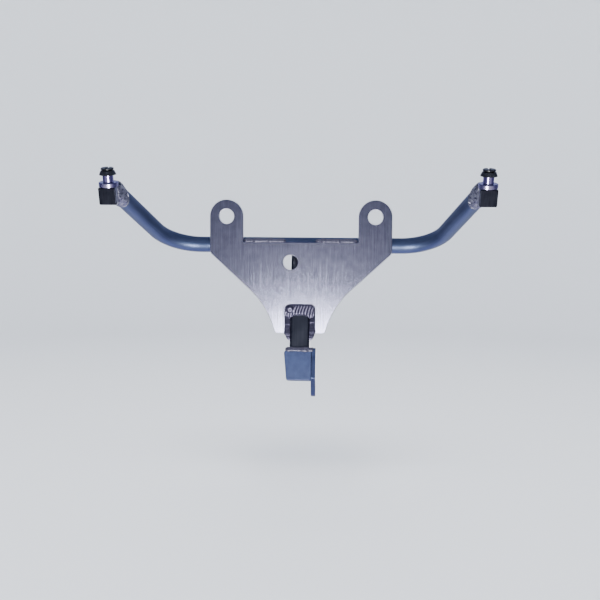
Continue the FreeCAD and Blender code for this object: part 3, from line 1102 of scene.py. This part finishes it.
@dataclass(frozen=True)
class Bead:
    """The section and the ripples of a run of weld.

    Attributes:
        width: half width across the run.
        height: how far it stands out.
        root: how far it sinks in.
        pitch: distance from one ripple to the next.
        ripple: depth of the ripples as a share of the size.
        curl: how far a ripple's ends lag behind its middle, in ripples.
        lumps: unevenness as a share of the size.
        columns: points round the section.
        phase: start of the ripples and lumps.
        fullness: 1 for an elliptic section, less for a flatter and squarer one.
    """

    width: float
    height: float
    root: float
    pitch: float = 1.9 * MM
    ripple: float = 0.14
    curl: float = 0.9
    lumps: float = 0.10
    columns: int = 40
    phase: float = 0.0
    fullness: float = 1.0

    def section(self, s: Points, taper: Points) -> tuple[Points, Points]:
        """Places across and out of the run, for each length along it.

        The section is a half superellipse that stands out and another that sinks in. Its size is multiplied
        by the taper, by slow sine waves for lumps and by ripples. A ripple is a half-round crest between
        sharp valleys, and its middle runs ahead of its ends.

        Args:
            s: lengths along the run.
            taper: size at each length, 1 in the middle.

        Returns:
            Across and outward places, each of shape (len(s), columns).
        """
        angle = np.linspace(0.0, 2 * np.pi, self.columns, endpoint=False)[None, :]
        cosine, sine = np.cos(angle), np.sin(angle)
        along = (s / self.pitch)[:, None] + self.phase
        slow = np.sin(1.7 * along) + 0.6 * np.sin(2.9 * along + 1.3) + 0.4 * np.sin(4.3 * along + self.phase)
        ripples = self.ripple * crests(along - self.curl * cosine ** 2)
        size = taper[:, None] * (1 + ripples + self.lumps * slow / 2)
        rise = np.where(sine > 0, self.height, self.root)
        wide = np.sign(cosine) * np.abs(cosine) ** self.fullness
        tall = np.sign(sine) * np.abs(sine) ** self.fullness
        return self.width * wide * size, rise * tall * size

    def run(self, line: Points, across: Points, outward: Points, taper: Points) -> Skin:
        """The bead's surface: a line's points plus the section's places along the two directions."""
        sideways, out = self.section(lengths(line), taper)
        return Skin(line[:, None, :] + sideways[..., None] * across + out[..., None] * outward)


STITCH_BEAD = Bead(width=2.6 * MM, height=2.4 * MM, root=2.0 * MM, pitch=3.4 * MM, ripple=0.08, lumps=0.20)
FOOT_BEAD = Bead(width=2.7 * MM, height=2.4 * MM, root=1.6 * MM, pitch=5.2 * MM, ripple=0.06, lumps=0.16,
                 phase=0.7, fullness=0.75)
STRUT_BEAD = Bead(width=2.3 * MM, height=1.6 * MM, root=2.4 * MM, phase=0.3)
LUG_BEAD = Bead(width=2.3 * MM, height=1.5 * MM, root=2.0 * MM, phase=0.9)
SIDE_BEAD = Bead(width=3.1 * MM, height=1.0 * MM, root=3.0 * MM, pitch=2.4 * MM, ripple=0.10, lumps=0.15,
                 fullness=0.5)


@dataclass(frozen=True)
class Seam:
    """A straight run of weld that stands for one node.

    Attributes:
        name: name of the piece.
        node: the node that it replaces.
        bead: its section and ripples.
        place: the frame in which its line and directions are given.
        start: where it starts.
        finish: where it ends.
        across: direction across it.
        outward: direction out of it.
        rows: points along it.
        rounding: share of its length over which each end rounds off.
    """

    name: str
    node: str
    bead: Bead
    place: Place
    start: Triple
    finish: Triple
    across: Triple
    outward: Triple
    rows: int
    rounding: float

    def build(self, metal: bpy.types.Material) -> None:
        """Lays the bead evenly from start to finish, with ends that round off as an ellipse does.

        Args:
            metal: the weld metal.
        """
        share = np.linspace(0.0, 1.0, self.rows)
        line = np.array(self.start) * (1 - share[:, None]) + np.array(self.finish) * share[:, None]
        near = np.clip(np.minimum(share, 1 - share) / self.rounding, 0.0, 1.0)
        taper = np.maximum(np.sqrt(1 - (1 - near) ** 2), LEAST_TAPER)
        across, outward = self.place.aim(unit(np.array([self.across, self.outward])))
        skin = self.bead.run(self.place.put(line), across, outward, taper)
        add_piece(self.name, [skin], metal, Slot.WELD, self.node)


@dataclass
class Seams:
    """The straight beads: two stitches on the tube, and three beads on the strut.

    Attributes:
        tube: the cross tube.
        strut: the centre strut.
        foot: the foot on the strut.
        edge_above_tube: plate's top edge above the tube's centre line.
        stitch_start: bare tube on each side of the middle.
        stitch_stop: where a stitch ends beside the ear.
        stitch_set: a stitch's line above the plate's top edge, and in front of its back.
        foot_set: the foot bead's line in front of the strut.
        foot_rise: the same line above the foot plate.
        foot_inset: the same line's start inside the plate's free edge.
        foot_lap: how far it runs over the lug.
        tube_set: the upper bead's line in front of the strut.
        tube_rise: the same line above the strut's end.
        tube_inset: the same line's ends inside the strut's sides.
        lug_set: the lug bead's line inside the strut's back face.
        lug_inset: the same line's ends inside the strut's end and the plate's top.
    """

    tube: CrossTube
    strut: CentreStrut
    foot: Foot
    edge_above_tube: float = 2.9 * MM
    stitch_start: float = 15.0 * MM
    stitch_stop: float = 57.2 * MM
    stitch_set: float = 1.2 * MM
    foot_set: float = 2.0 * MM
    foot_rise: float = 0.9 * MM
    foot_inset: float = 1.2 * MM
    foot_lap: float = 3.5 * MM
    tube_set: float = 0.4 * MM
    tube_rise: float = 0.2 * MM
    tube_inset: float = 1.5 * MM
    lug_set: float = 0.8 * MM
    lug_inset: float = 2.0 * MM

    def __post_init__(self) -> None:
        """Makes the finish that these beads share."""
        self.metal = WELD_FINISH.make()

    def build_stitches(self) -> None:
        """Two stitches in the groove between the plate's top edge and the tube."""
        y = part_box("gauge_plate")[1].y - self.stitch_set
        z = self.tube.z + self.edge_above_tube + self.stitch_set
        for side in Side:
            start, stop = (side.value * x for x in (self.stitch_start, self.stitch_stop))
            bead = replace(STITCH_BEAD, phase=1.0 + side.value)
            Seam(f"{side.word}_stitch", f"{side.word}_top_weld", bead, Place(), (start, y, z), (stop, y, z),
                 across=(0.0, 0.6, 0.8), outward=(0.0, -0.8, 0.6), rows=260, rounding=0.08).build(self.metal)

    def build_on_strut(self) -> None:
        """Beads along the foot plate's top edge, against the tube, and between strut and lug at the back."""
        strut, foot = self.strut, self.foot
        y, z = strut.front - self.foot_set, foot.top + self.foot_rise
        Seam("foot_bead", "foot_top_weld", FOOT_BEAD, strut.place,
             (self.foot_inset - foot.top_reach, y, z), (foot.right + self.foot_lap, y, z),
             across=(0.0, 0.38, 0.92), outward=(0.0, -0.92, 0.38), rows=200, rounding=0.1).build(self.metal)
        y, z = strut.front - self.tube_set, strut.high + self.tube_rise
        reach = strut.size / 2 - self.tube_inset
        Seam("strut_bead", "strut_top_weld", STRUT_BEAD, strut.place, (-reach, y, z), (reach, y, z),
             across=(0.0, 1.0, 0.0), outward=(0.0, 0.0, 1.0), rows=140, rounding=0.12).build(self.metal)
        x, y = (strut.size + foot.lug_gap) / 2, strut.back - self.lug_set
        Seam("lug_bead", "lug_weld", LUG_BEAD, strut.place,
             (x, y, strut.low + self.lug_inset), (x, y, foot.top - self.lug_inset),
             across=(1.0, 0.0, 0.0), outward=(0.0, 1.0, 0.0), rows=150, rounding=0.1).build(self.metal)


@dataclass
class NotchWeld:
    """The heavy weld that closes the plate's notch round the strut.

    Attributes:
        strut: the centre strut.
        half_width: half width of the notch.
        depth: depth of the notch.
        side_gap: gap left at the notch's sides.
        top_lap: how far the weld laps over the notch's top.
        corner_drop: drop of its upper edge at the notch's rounded corners.
        cover: height of the patch above the strut.
        dip: how much lower the patch reaches at the strut's corners.
        dip_width: width of that dip.
        dip_out: middle of that dip outside the strut's side.
        dome: how far the patch stands out.
        pitch: distance from one ripple to the next.
        ripple: height of the ripples.
        lean: lean of the ripples over the patch's height, in ripples.
        bow: how far a ripple's ends lag behind its middle, in ripples.
        blob: X of the start blob, and how far it lies below the notch's top.
        blob_radius: its radius.
        blob_height: its height.
        blob_calm: radius of the calm round it, in its own radii.
        calm_share: share of the ripples that is lost there.
        crater: X of its crater, and how far that lies below the notch's top.
        crater_radius: radius of the crater.
        crater_depth: depth of the crater.
        strut_blend: distance over which the patch leaves the strut's face beside the strut.
        side_top: start of the side beads below the notch's top.
        side_tail: how far they run on below the plate.
        side_close: how far they close in on the strut there.
        side_set: their line behind the strut's front face.
        side_tip: square of their size at the very end.
        columns: points across the patch.
        rows: points over its height.
        side_rows: points along a side bead.
    """

    strut: CentreStrut
    half_width: float = 15.3 * MM
    depth: float = 29.3 * MM
    side_gap: float = 0.1 * MM
    top_lap: float = 0.3 * MM
    corner_drop: float = 3.5 * MM
    cover: float = 10.8 * MM
    dip: float = 3.4 * MM
    dip_width: float = 3.4 * MM
    dip_out: float = 0.6 * MM
    dome: float = 0.5 * MM
    pitch: float = 2.9 * MM
    ripple: float = 0.75 * MM
    lean: float = 1.2
    bow: float = 0.35
    blob: tuple[float, float] = (-10.4 * MM, 4.9 * MM)
    blob_radius: float = 3.5 * MM
    blob_height: float = 1.2 * MM
    blob_calm: float = 1.4
    calm_share: float = 0.9
    crater: tuple[float, float] = (-9.8 * MM, 5.6 * MM)
    crater_radius: float = 1.0 * MM
    crater_depth: float = 0.45 * MM
    strut_blend: float = 0.4 * MM
    side_top: float = 8.0 * MM
    side_tail: float = 7.0 * MM
    side_close: float = 2.6 * MM
    side_set: float = 2.4 * MM
    side_tip: float = 0.02
    columns: int = 260
    rows: int = 60
    side_rows: int = 200

    def __post_init__(self) -> None:
        """Takes the plate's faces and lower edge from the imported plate."""
        low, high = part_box("gauge_plate")
        self.front, self.back = low.y, high.y
        self.bottom = low.z
        self.top = low.z + self.depth

    def strut_face(self, z: Points) -> Points:
        """Y of the strut's front face at a height: it comes toward the rider as it goes down."""
        return self.back + (z - self.top) * math.tan(math.radians(self.strut.lean))

    def bulge(self, x: Points, z: Points, w: Points) -> Points:
        """How far the patch above the strut stands out.

        A flat dome over the patch's height, with slanting half-round ripples. They fade out round the start
        of the run, a round blob with a small crater.

        Args:
            x: places across the notch.
            z: heights.
            w: the heights as a share of the patch's height.

        Returns:
            Lengths toward the rider.
        """
        away = np.hypot(x - self.blob[0], z - self.top + self.blob[1]) / self.blob_radius
        pit = np.hypot(x - self.crater[0], z - self.top + self.crater[1]) / self.crater_radius
        calm = 1 - self.calm_share * np.exp(-(away / self.blob_calm) ** 4)
        turn = x / self.pitch - self.lean * w - self.bow * (2 * w - 1) ** 2
        over = 1 - (2 * w - 1) ** 6
        ends = np.sqrt(np.maximum(1 - np.abs(x / self.half_width) ** 8, 0.0))
        blob = self.blob_height * np.exp(-away ** 4) - self.crater_depth * np.exp(-pit ** 2)
        return self.dome * over * ends + self.ripple * calm * crests(turn) * over + blob

    def patch(self) -> Skin:
        """Heavy rippled patch that fills the notch above the strut.

        A point's X runs across the notch. Its height runs from an edge that dips at the strut's two corners
        to the notch's top, which drops at the rounded corners. It stands out of the plate, or of the strut
        where that comes further forward. The back of the patch lies inside the notch.

        Returns:
            The patch's surface.
        """
        x = np.linspace(-1.0, 1.0, self.columns)[:, None] * (self.half_width - self.side_gap)
        w = np.linspace(0.0, 1.0, self.rows)[None, :]
        half = self.strut.size / 2
        upper = self.top + self.top_lap - self.corner_drop * np.abs(x / self.half_width) ** 6
        corner = (np.abs(x) - half - self.dip_out) / self.dip_width
        lower = self.top - self.cover - self.dip * np.exp(-corner ** 2)
        z = lower + (upper - lower) * w
        on_strut = 1 / (1 + np.exp((np.abs(x) - half) / self.strut_blend))
        base = self.front + np.minimum(self.strut_face(z) - self.front, 0.0) * on_strut
        front = grid(x, base - self.bulge(x, z, w), z)
        back = grid(x, self.back, z)[:, ::-1]
        return Skin(np.concatenate([front, back], axis=1))

    def side_bead(self, side: Side) -> Skin:
        """Lighter bead down one side of the notch, in the corner between the plate and the strut.

        Its line runs down midway between the notch's edge and the strut's side, comes forward with the
        strut's face, and below the plate it closes in on the strut as it tapers away.

        Args:
            side: the side of the notch.

        Returns:
            The bead's surface.
        """
        z = np.linspace(self.top - self.side_top, self.bottom - self.side_tail, self.side_rows)
        below = np.clip((self.bottom - z) / self.side_tail, 0.0, 1.0)
        x = side.value * ((self.half_width + self.strut.size / 2) / 2 - below * self.side_close)
        line = np.column_stack([x, self.strut_face(z) + self.side_set, z])
        taper = np.sqrt(np.maximum(1 - below ** 2, self.side_tip))
        bead = replace(SIDE_BEAD, phase=0.4 * side.value)
        return bead.run(line, np.array([1.0, 0.0, 0.0]), np.array([0.0, -1.0, 0.0]), taper)

    def build(self) -> None:
        """The patch above the strut and the bead down each side, as one piece."""
        skins = [self.patch()] + [self.side_bead(side) for side in Side]
        add_piece("notch_bead", skins, NOTCH_FINISH.make(), Slot.WELD, "notch_weld")


@dataclass
class ArmWeld:
    """The lumpy weld between an arm and its end block.

    Attributes:
        tube: the cross tube.
        end: the arm's end.
        fillet_run: weld forward along the block's inner side.
        fillet_reach: the same weld's root, inward from that side.
        front: sizes of the rings that grow out from the middle, in tube radii.
        back: sizes of the rings that run back along the tube.
        slide: how far back each of those lies.
        swell: lumps as a share of the size.
        lump: lumps along the arm.
        top_gap: how far the fillet stays below the block's top.
        flange_gap: how far the weld stays below the flange's top.
    """

    tube: CrossTube
    end: ArmEnd
    fillet_run: float = 9.0 * MM
    fillet_reach: float = 8.0 * MM
    front: Sequence[float] = (0.02, 0.2, 0.38, 0.54, 0.68, 0.80, 0.90, 0.98, 1.05)
    back: Sequence[float] = (1.09, 1.115, 1.125, 1.115, 1.09, 1.06, 1.025, 0.98)
    slide: Sequence[float] = tuple(step * MM for step in (0.3, 0.8, 1.4, 2.1, 2.8, 3.5, 4.2, 4.7))
    swell: float = 0.026
    lump: float = 0.5 * MM
    top_gap: float = 0.3 * MM
    flange_gap: float = 0.6 * MM

    def fillet(self, points: Points, heading: Points) -> Points:
        """How far the weld runs on past the plane of the block's back face.

        A point slides along the arm until it meets a plane that slants from the block's inner side back to
        the tube's rim, but no further than the fillet's run and not above the block's top.

        Args:
            points: points on the plane of the block's back face.
            heading: direction of the arm there.

        Returns:
            Lengths along the arm, one for each point.
        """
        end = self.end
        out, forth, up = end.place.aim(np.eye(3)) @ heading * np.array([end.side.value, -1.0, 1.0])
        local = end.place.local(points)
        clear = -end.side.value * local[..., 0] - end.block_width / 2
        slant = self.fillet_run / self.fillet_reach
        to_plane = (self.fillet_run - slant * clear) / (forth - slant * out)
        to_top = (end.block_height / 2 - self.top_gap - local[..., 2]) / up
        return np.clip(np.minimum(to_plane, to_top), 0.0, self.fillet_run / forth)

    def build(self) -> None:
        """Lumpy weld on the arm's mitred end, drawn forward into a fillet along the block's inner side.

        A ring is the tube's mitred end scaled about its middle. The first rings grow out from the middle and
        are slid forward by the fillet, and the rest run back along the tube. Slow sine waves round the rings
        lift them into lumps, and the weld stays below the flange.
        """
        side = self.end.side
        ring, heading = self.tube.mitred(self.end)
        middle = ring.mean(axis=0)
        scale = np.concatenate([self.front, self.back])[:, None]
        angle = np.linspace(0.0, 2 * np.pi, len(ring), endpoint=False)[None, :]
        step = np.arange(len(scale))[:, None]
        lumps = np.sin(4 * angle + 0.5 * step) + 0.7 * np.sin(7 * angle - 0.6 * step + side.value)
        flat = middle + (scale * (1 + self.swell * lumps))[..., None] * (ring - middle)
        forward = self.fillet(flat[:len(self.front)], heading)
        backward = np.broadcast_to(-np.array(self.slide)[:, None], (len(self.back), len(ring)))
        reach = np.concatenate([forward, backward]) + self.lump * lumps
        rows = self.end.place.local(flat + reach[..., None] * heading)
        rows[..., 2] = np.minimum(rows[..., 2], self.end.boss_top - self.flange_gap)
        skin = Skin(self.end.place.put(rows))
        add_piece(f"{side.word}_arm_bead", [skin], ARM_WELD_FINISH.make(), Slot.WELD, f"{side.word}_arm_weld")


def framed(at: Points, right: Points, back: Points) -> Matrix:
    """Matrix of a light or camera.

    Args:
        at: its place.
        right: direction of its own X.
        back: direction of its own Z, away from what it looks at.

    Returns:
        The matrix.
    """
    matrix = np.eye(4)
    matrix[:3, :3] = np.stack([right, np.cross(back, right), back], axis=1)
    matrix[:3, 3] = at
    return Matrix(matrix.tolist())


@dataclass(frozen=True)
class Lamp:
    """One soft rectangular light.

    Attributes:
        name: name of the light.
        at: its place.
        aim: the point that it faces.
        size: its width and height.
        power: its power in watts.
        glossy: True for a light that shiny surfaces mirror, False for one that only lights dull ones.
    """

    name: str
    at: Triple
    aim: Triple
    size: tuple[float, float]
    power: float
    glossy: bool

    def light(self) -> None:
        """Hangs the light, turned so that it faces its aim."""
        data = bpy.data.lights.new(self.name, "AREA")
        data.shape = "RECTANGLE"
        data.size, data.size_y = self.size
        data.energy = self.power
        lamp = new_object(self.name, data)
        back = unit(np.array(self.at) - np.array(self.aim))
        right = unit(np.cross(np.array([0.0, 0.0, 1.0]), back))
        lamp.matrix_world = framed(np.array(self.at), right, back)
        lamp.visible_glossy = self.glossy
        lamp.visible_diffuse = not self.glossy
        lamp.visible_camera = False


LAMP_AIM = (0.0, 0.0, -0.05)
LAMPS = (
    Lamp("overhead", (0.0, 0.0, 2.2), (0.0, 0.001, 0.0), (2.4, 2.4), 58.0, glossy=False),
    Lamp("fill", (0.0, -3.4, 2.6), LAMP_AIM, (2.4, 1.6), 360.0, glossy=False),
    Lamp("front_low", (-0.015, -0.50, -0.27), LAMP_AIM, (0.17, 0.20), 4.5, glossy=True),
    Lamp("back_low", (0.0, 0.60, -0.25), LAMP_AIM, (0.50, 0.25), 2.2, glossy=True),
)
SKY_BY_HEIGHT = (
    (-1.0, (5.5, 5.3, 5.0)),
    (-0.8, (1.5, 1.45, 1.3)),
    (-0.4, (0.70, 0.70, 0.80)),
    (0.0, (0.32, 0.33, 0.41)),
    (0.35, (0.32, 0.35, 0.46)),
    (0.8, (0.24, 0.28, 0.42)),
)
SKY_BY_DEPTH = (
    (-1.0, (1.0, 1.0, 1.0)),
    (-0.75, (0.80, 0.80, 0.85)),
    (-0.2, (0.20, 0.20, 0.36)),
    (0.3, (0.20, 0.20, 0.36)),
    (1.0, (1.5, 1.55, 1.75)),
)


@dataclass
class Studio:
    """Floor, light and camera.

    Attributes:
        drop: floor below the bracket's lowest point.
        reach: radius of the flat floor.
        curve: radius of the curve by which the floor rises at its rim.
        wall: height of the rim above that curve.
        middle: radius of the floor's innermost ring.
        curve_steps: points on the curve.
        columns: points round the floor.
        floor_colour: linear colour of the floor.
        floor_roughness: its roughness.
        eye: the camera's place.
        right: the picture's right-hand direction.
        up: the picture's upward direction.
        lens: focal length in millimetres.
        sensor: width of the sensor in millimetres.
        clip: nearest distance that the camera sees.
    """

    drop: float = 150.0 * MM
    reach: float = 1.8
    curve: float = 1.4
    wall: float = 1.0
    middle: float = 1.0 * MM
    curve_steps: int = 24
    columns: int = 128
    floor_colour: Triple = (0.80, 0.83, 0.86)
    floor_roughness: float = 0.9
    eye: Triple = (36.0 * MM, -741.0 * MM, -25.9 * MM)
    right: Triple = (0.9988, 0.0492, 0.0085)
    up: Triple = (-0.0123, 0.0767, 0.9970)
    lens: float = 44.34
    sensor: float = 36.0
    clip: float = 10.0 * MM

    def lay_floor(self) -> None:
        """Plain pale floor under the bracket, round, with a rim that curves up to a wall all round.

        Shiny surfaces don't mirror it: they mirror the surroundings.
        """
        angle = np.linspace(0.0, np.pi / 2, self.curve_steps)
        radius = np.concatenate([[self.middle, self.reach / 2], self.reach + self.curve * np.sin(angle)])
        height = np.concatenate([[0.0, 0.0], self.curve * (1 - np.cos(angle))])
        profile = np.column_stack([np.append(radius, radius[-1]), np.append(height, height[-1] + self.wall)])
        rows = revolved(profile + (0.0, cad_box[0].z - self.drop), self.columns)
        skin = Skin(rows)
        mesh = bpy.data.meshes.new("floor")
        mesh.from_pydata(rows.reshape(-1, 3).tolist(), [], skin.quads().tolist() + skin.caps()[:1])
        mesh.shade_smooth()
        shader = Shader("pale_floor", self.floor_colour, 0.0, self.floor_roughness)
        shader.surface.inputs["Specular IOR Level"].default_value = 0.0
        mesh.materials.append(shader.material)
        floor = new_object("floor", mesh)
        floor.visible_glossy = False

    def light_sky(self) -> None:
        """Surroundings that shiny metal mirrors: navy above, pale below, bright in front, dim at the sides.

        The colour is that of the height times that of the depth, each from a ramp along its own axis.
        """
        world = bpy.data.worlds.new("surroundings")
        bpy.context.scene.world = world
        world.use_nodes = True
        tree = world.node_tree
        place = tree.nodes.new("ShaderNodeTexCoord")
        split = tree.nodes.new("ShaderNodeSeparateXYZ")
        tree.links.new(place.outputs["Generated"], split.inputs["Vector"])
        layers = []
        for axis, stops in (("Z", SKY_BY_HEIGHT), ("Y", SKY_BY_DEPTH)):
            share = tree.nodes.new("ShaderNodeMapRange")
            share.inputs["From Min"].default_value = -1.0
            tree.links.new(split.outputs[axis], share.inputs["Value"])
            ramp = tree.nodes.new("ShaderNodeValToRGB")
            elements = ramp.color_ramp.elements
            while len(elements) < len(stops):
                elements.new(1.0)
            for element, (level, colour) in zip(elements, stops):
                element.position = (level + 1) / 2
                element.color = (*colour, 1.0)
            tree.links.new(share.outputs["Result"], ramp.inputs["Fac"])
            layers.append(ramp.outputs["Color"])
        product = tree.nodes.new("ShaderNodeMix")
        product.data_type = "RGBA"
        product.blend_type = "MULTIPLY"
        product.inputs[0].default_value = 1.0
        tree.links.new(layers[0], product.inputs[6])
        tree.links.new(layers[1], product.inputs[7])
        tree.links.new(product.outputs[2], tree.nodes["Background"].inputs["Color"])

    def set_camera(self) -> None:
        """Camera of the photograph's viewing angle."""
        data = bpy.data.cameras.new("camera")
        data.lens = self.lens
        data.sensor_width = self.sensor
        data.clip_start = self.clip
        camera = new_object("camera", data)
        right = unit(np.array(self.right))
        back = unit(np.cross(right, np.array(self.up)))
        camera.matrix_world = framed(np.array(self.eye), right, back)
        bpy.context.scene.camera = camera

    def build(self) -> None:
        """Sets up the floor, the surroundings, the lights and the camera."""
        self.lay_floor()
        self.light_sky()
        for lamp in LAMPS:
            lamp.light()
        self.set_camera()


def main() -> None:
    """Builds the sub-assemblies in order, then the studio."""
    logging.basicConfig(level=logging.INFO, format="%(name)s %(message)s")
    tube = CrossTube()
    strut = CentreStrut()
    foot = Foot(strut)
    ends = [ArmEnd(side) for side in Side]
    GaugePlate().dress()
    tube.build(ends)
    strut.build()
    foot.build()
    for end in ends:
        end.build()
    seams = Seams(tube, strut, foot)
    seams.build_stitches()
    NotchWeld(strut).build()
    seams.build_on_strut()
    for end in ends:
        ArmWeld(tube, end).build()
    Studio().build()


if __name__ == "__main__":
    main()
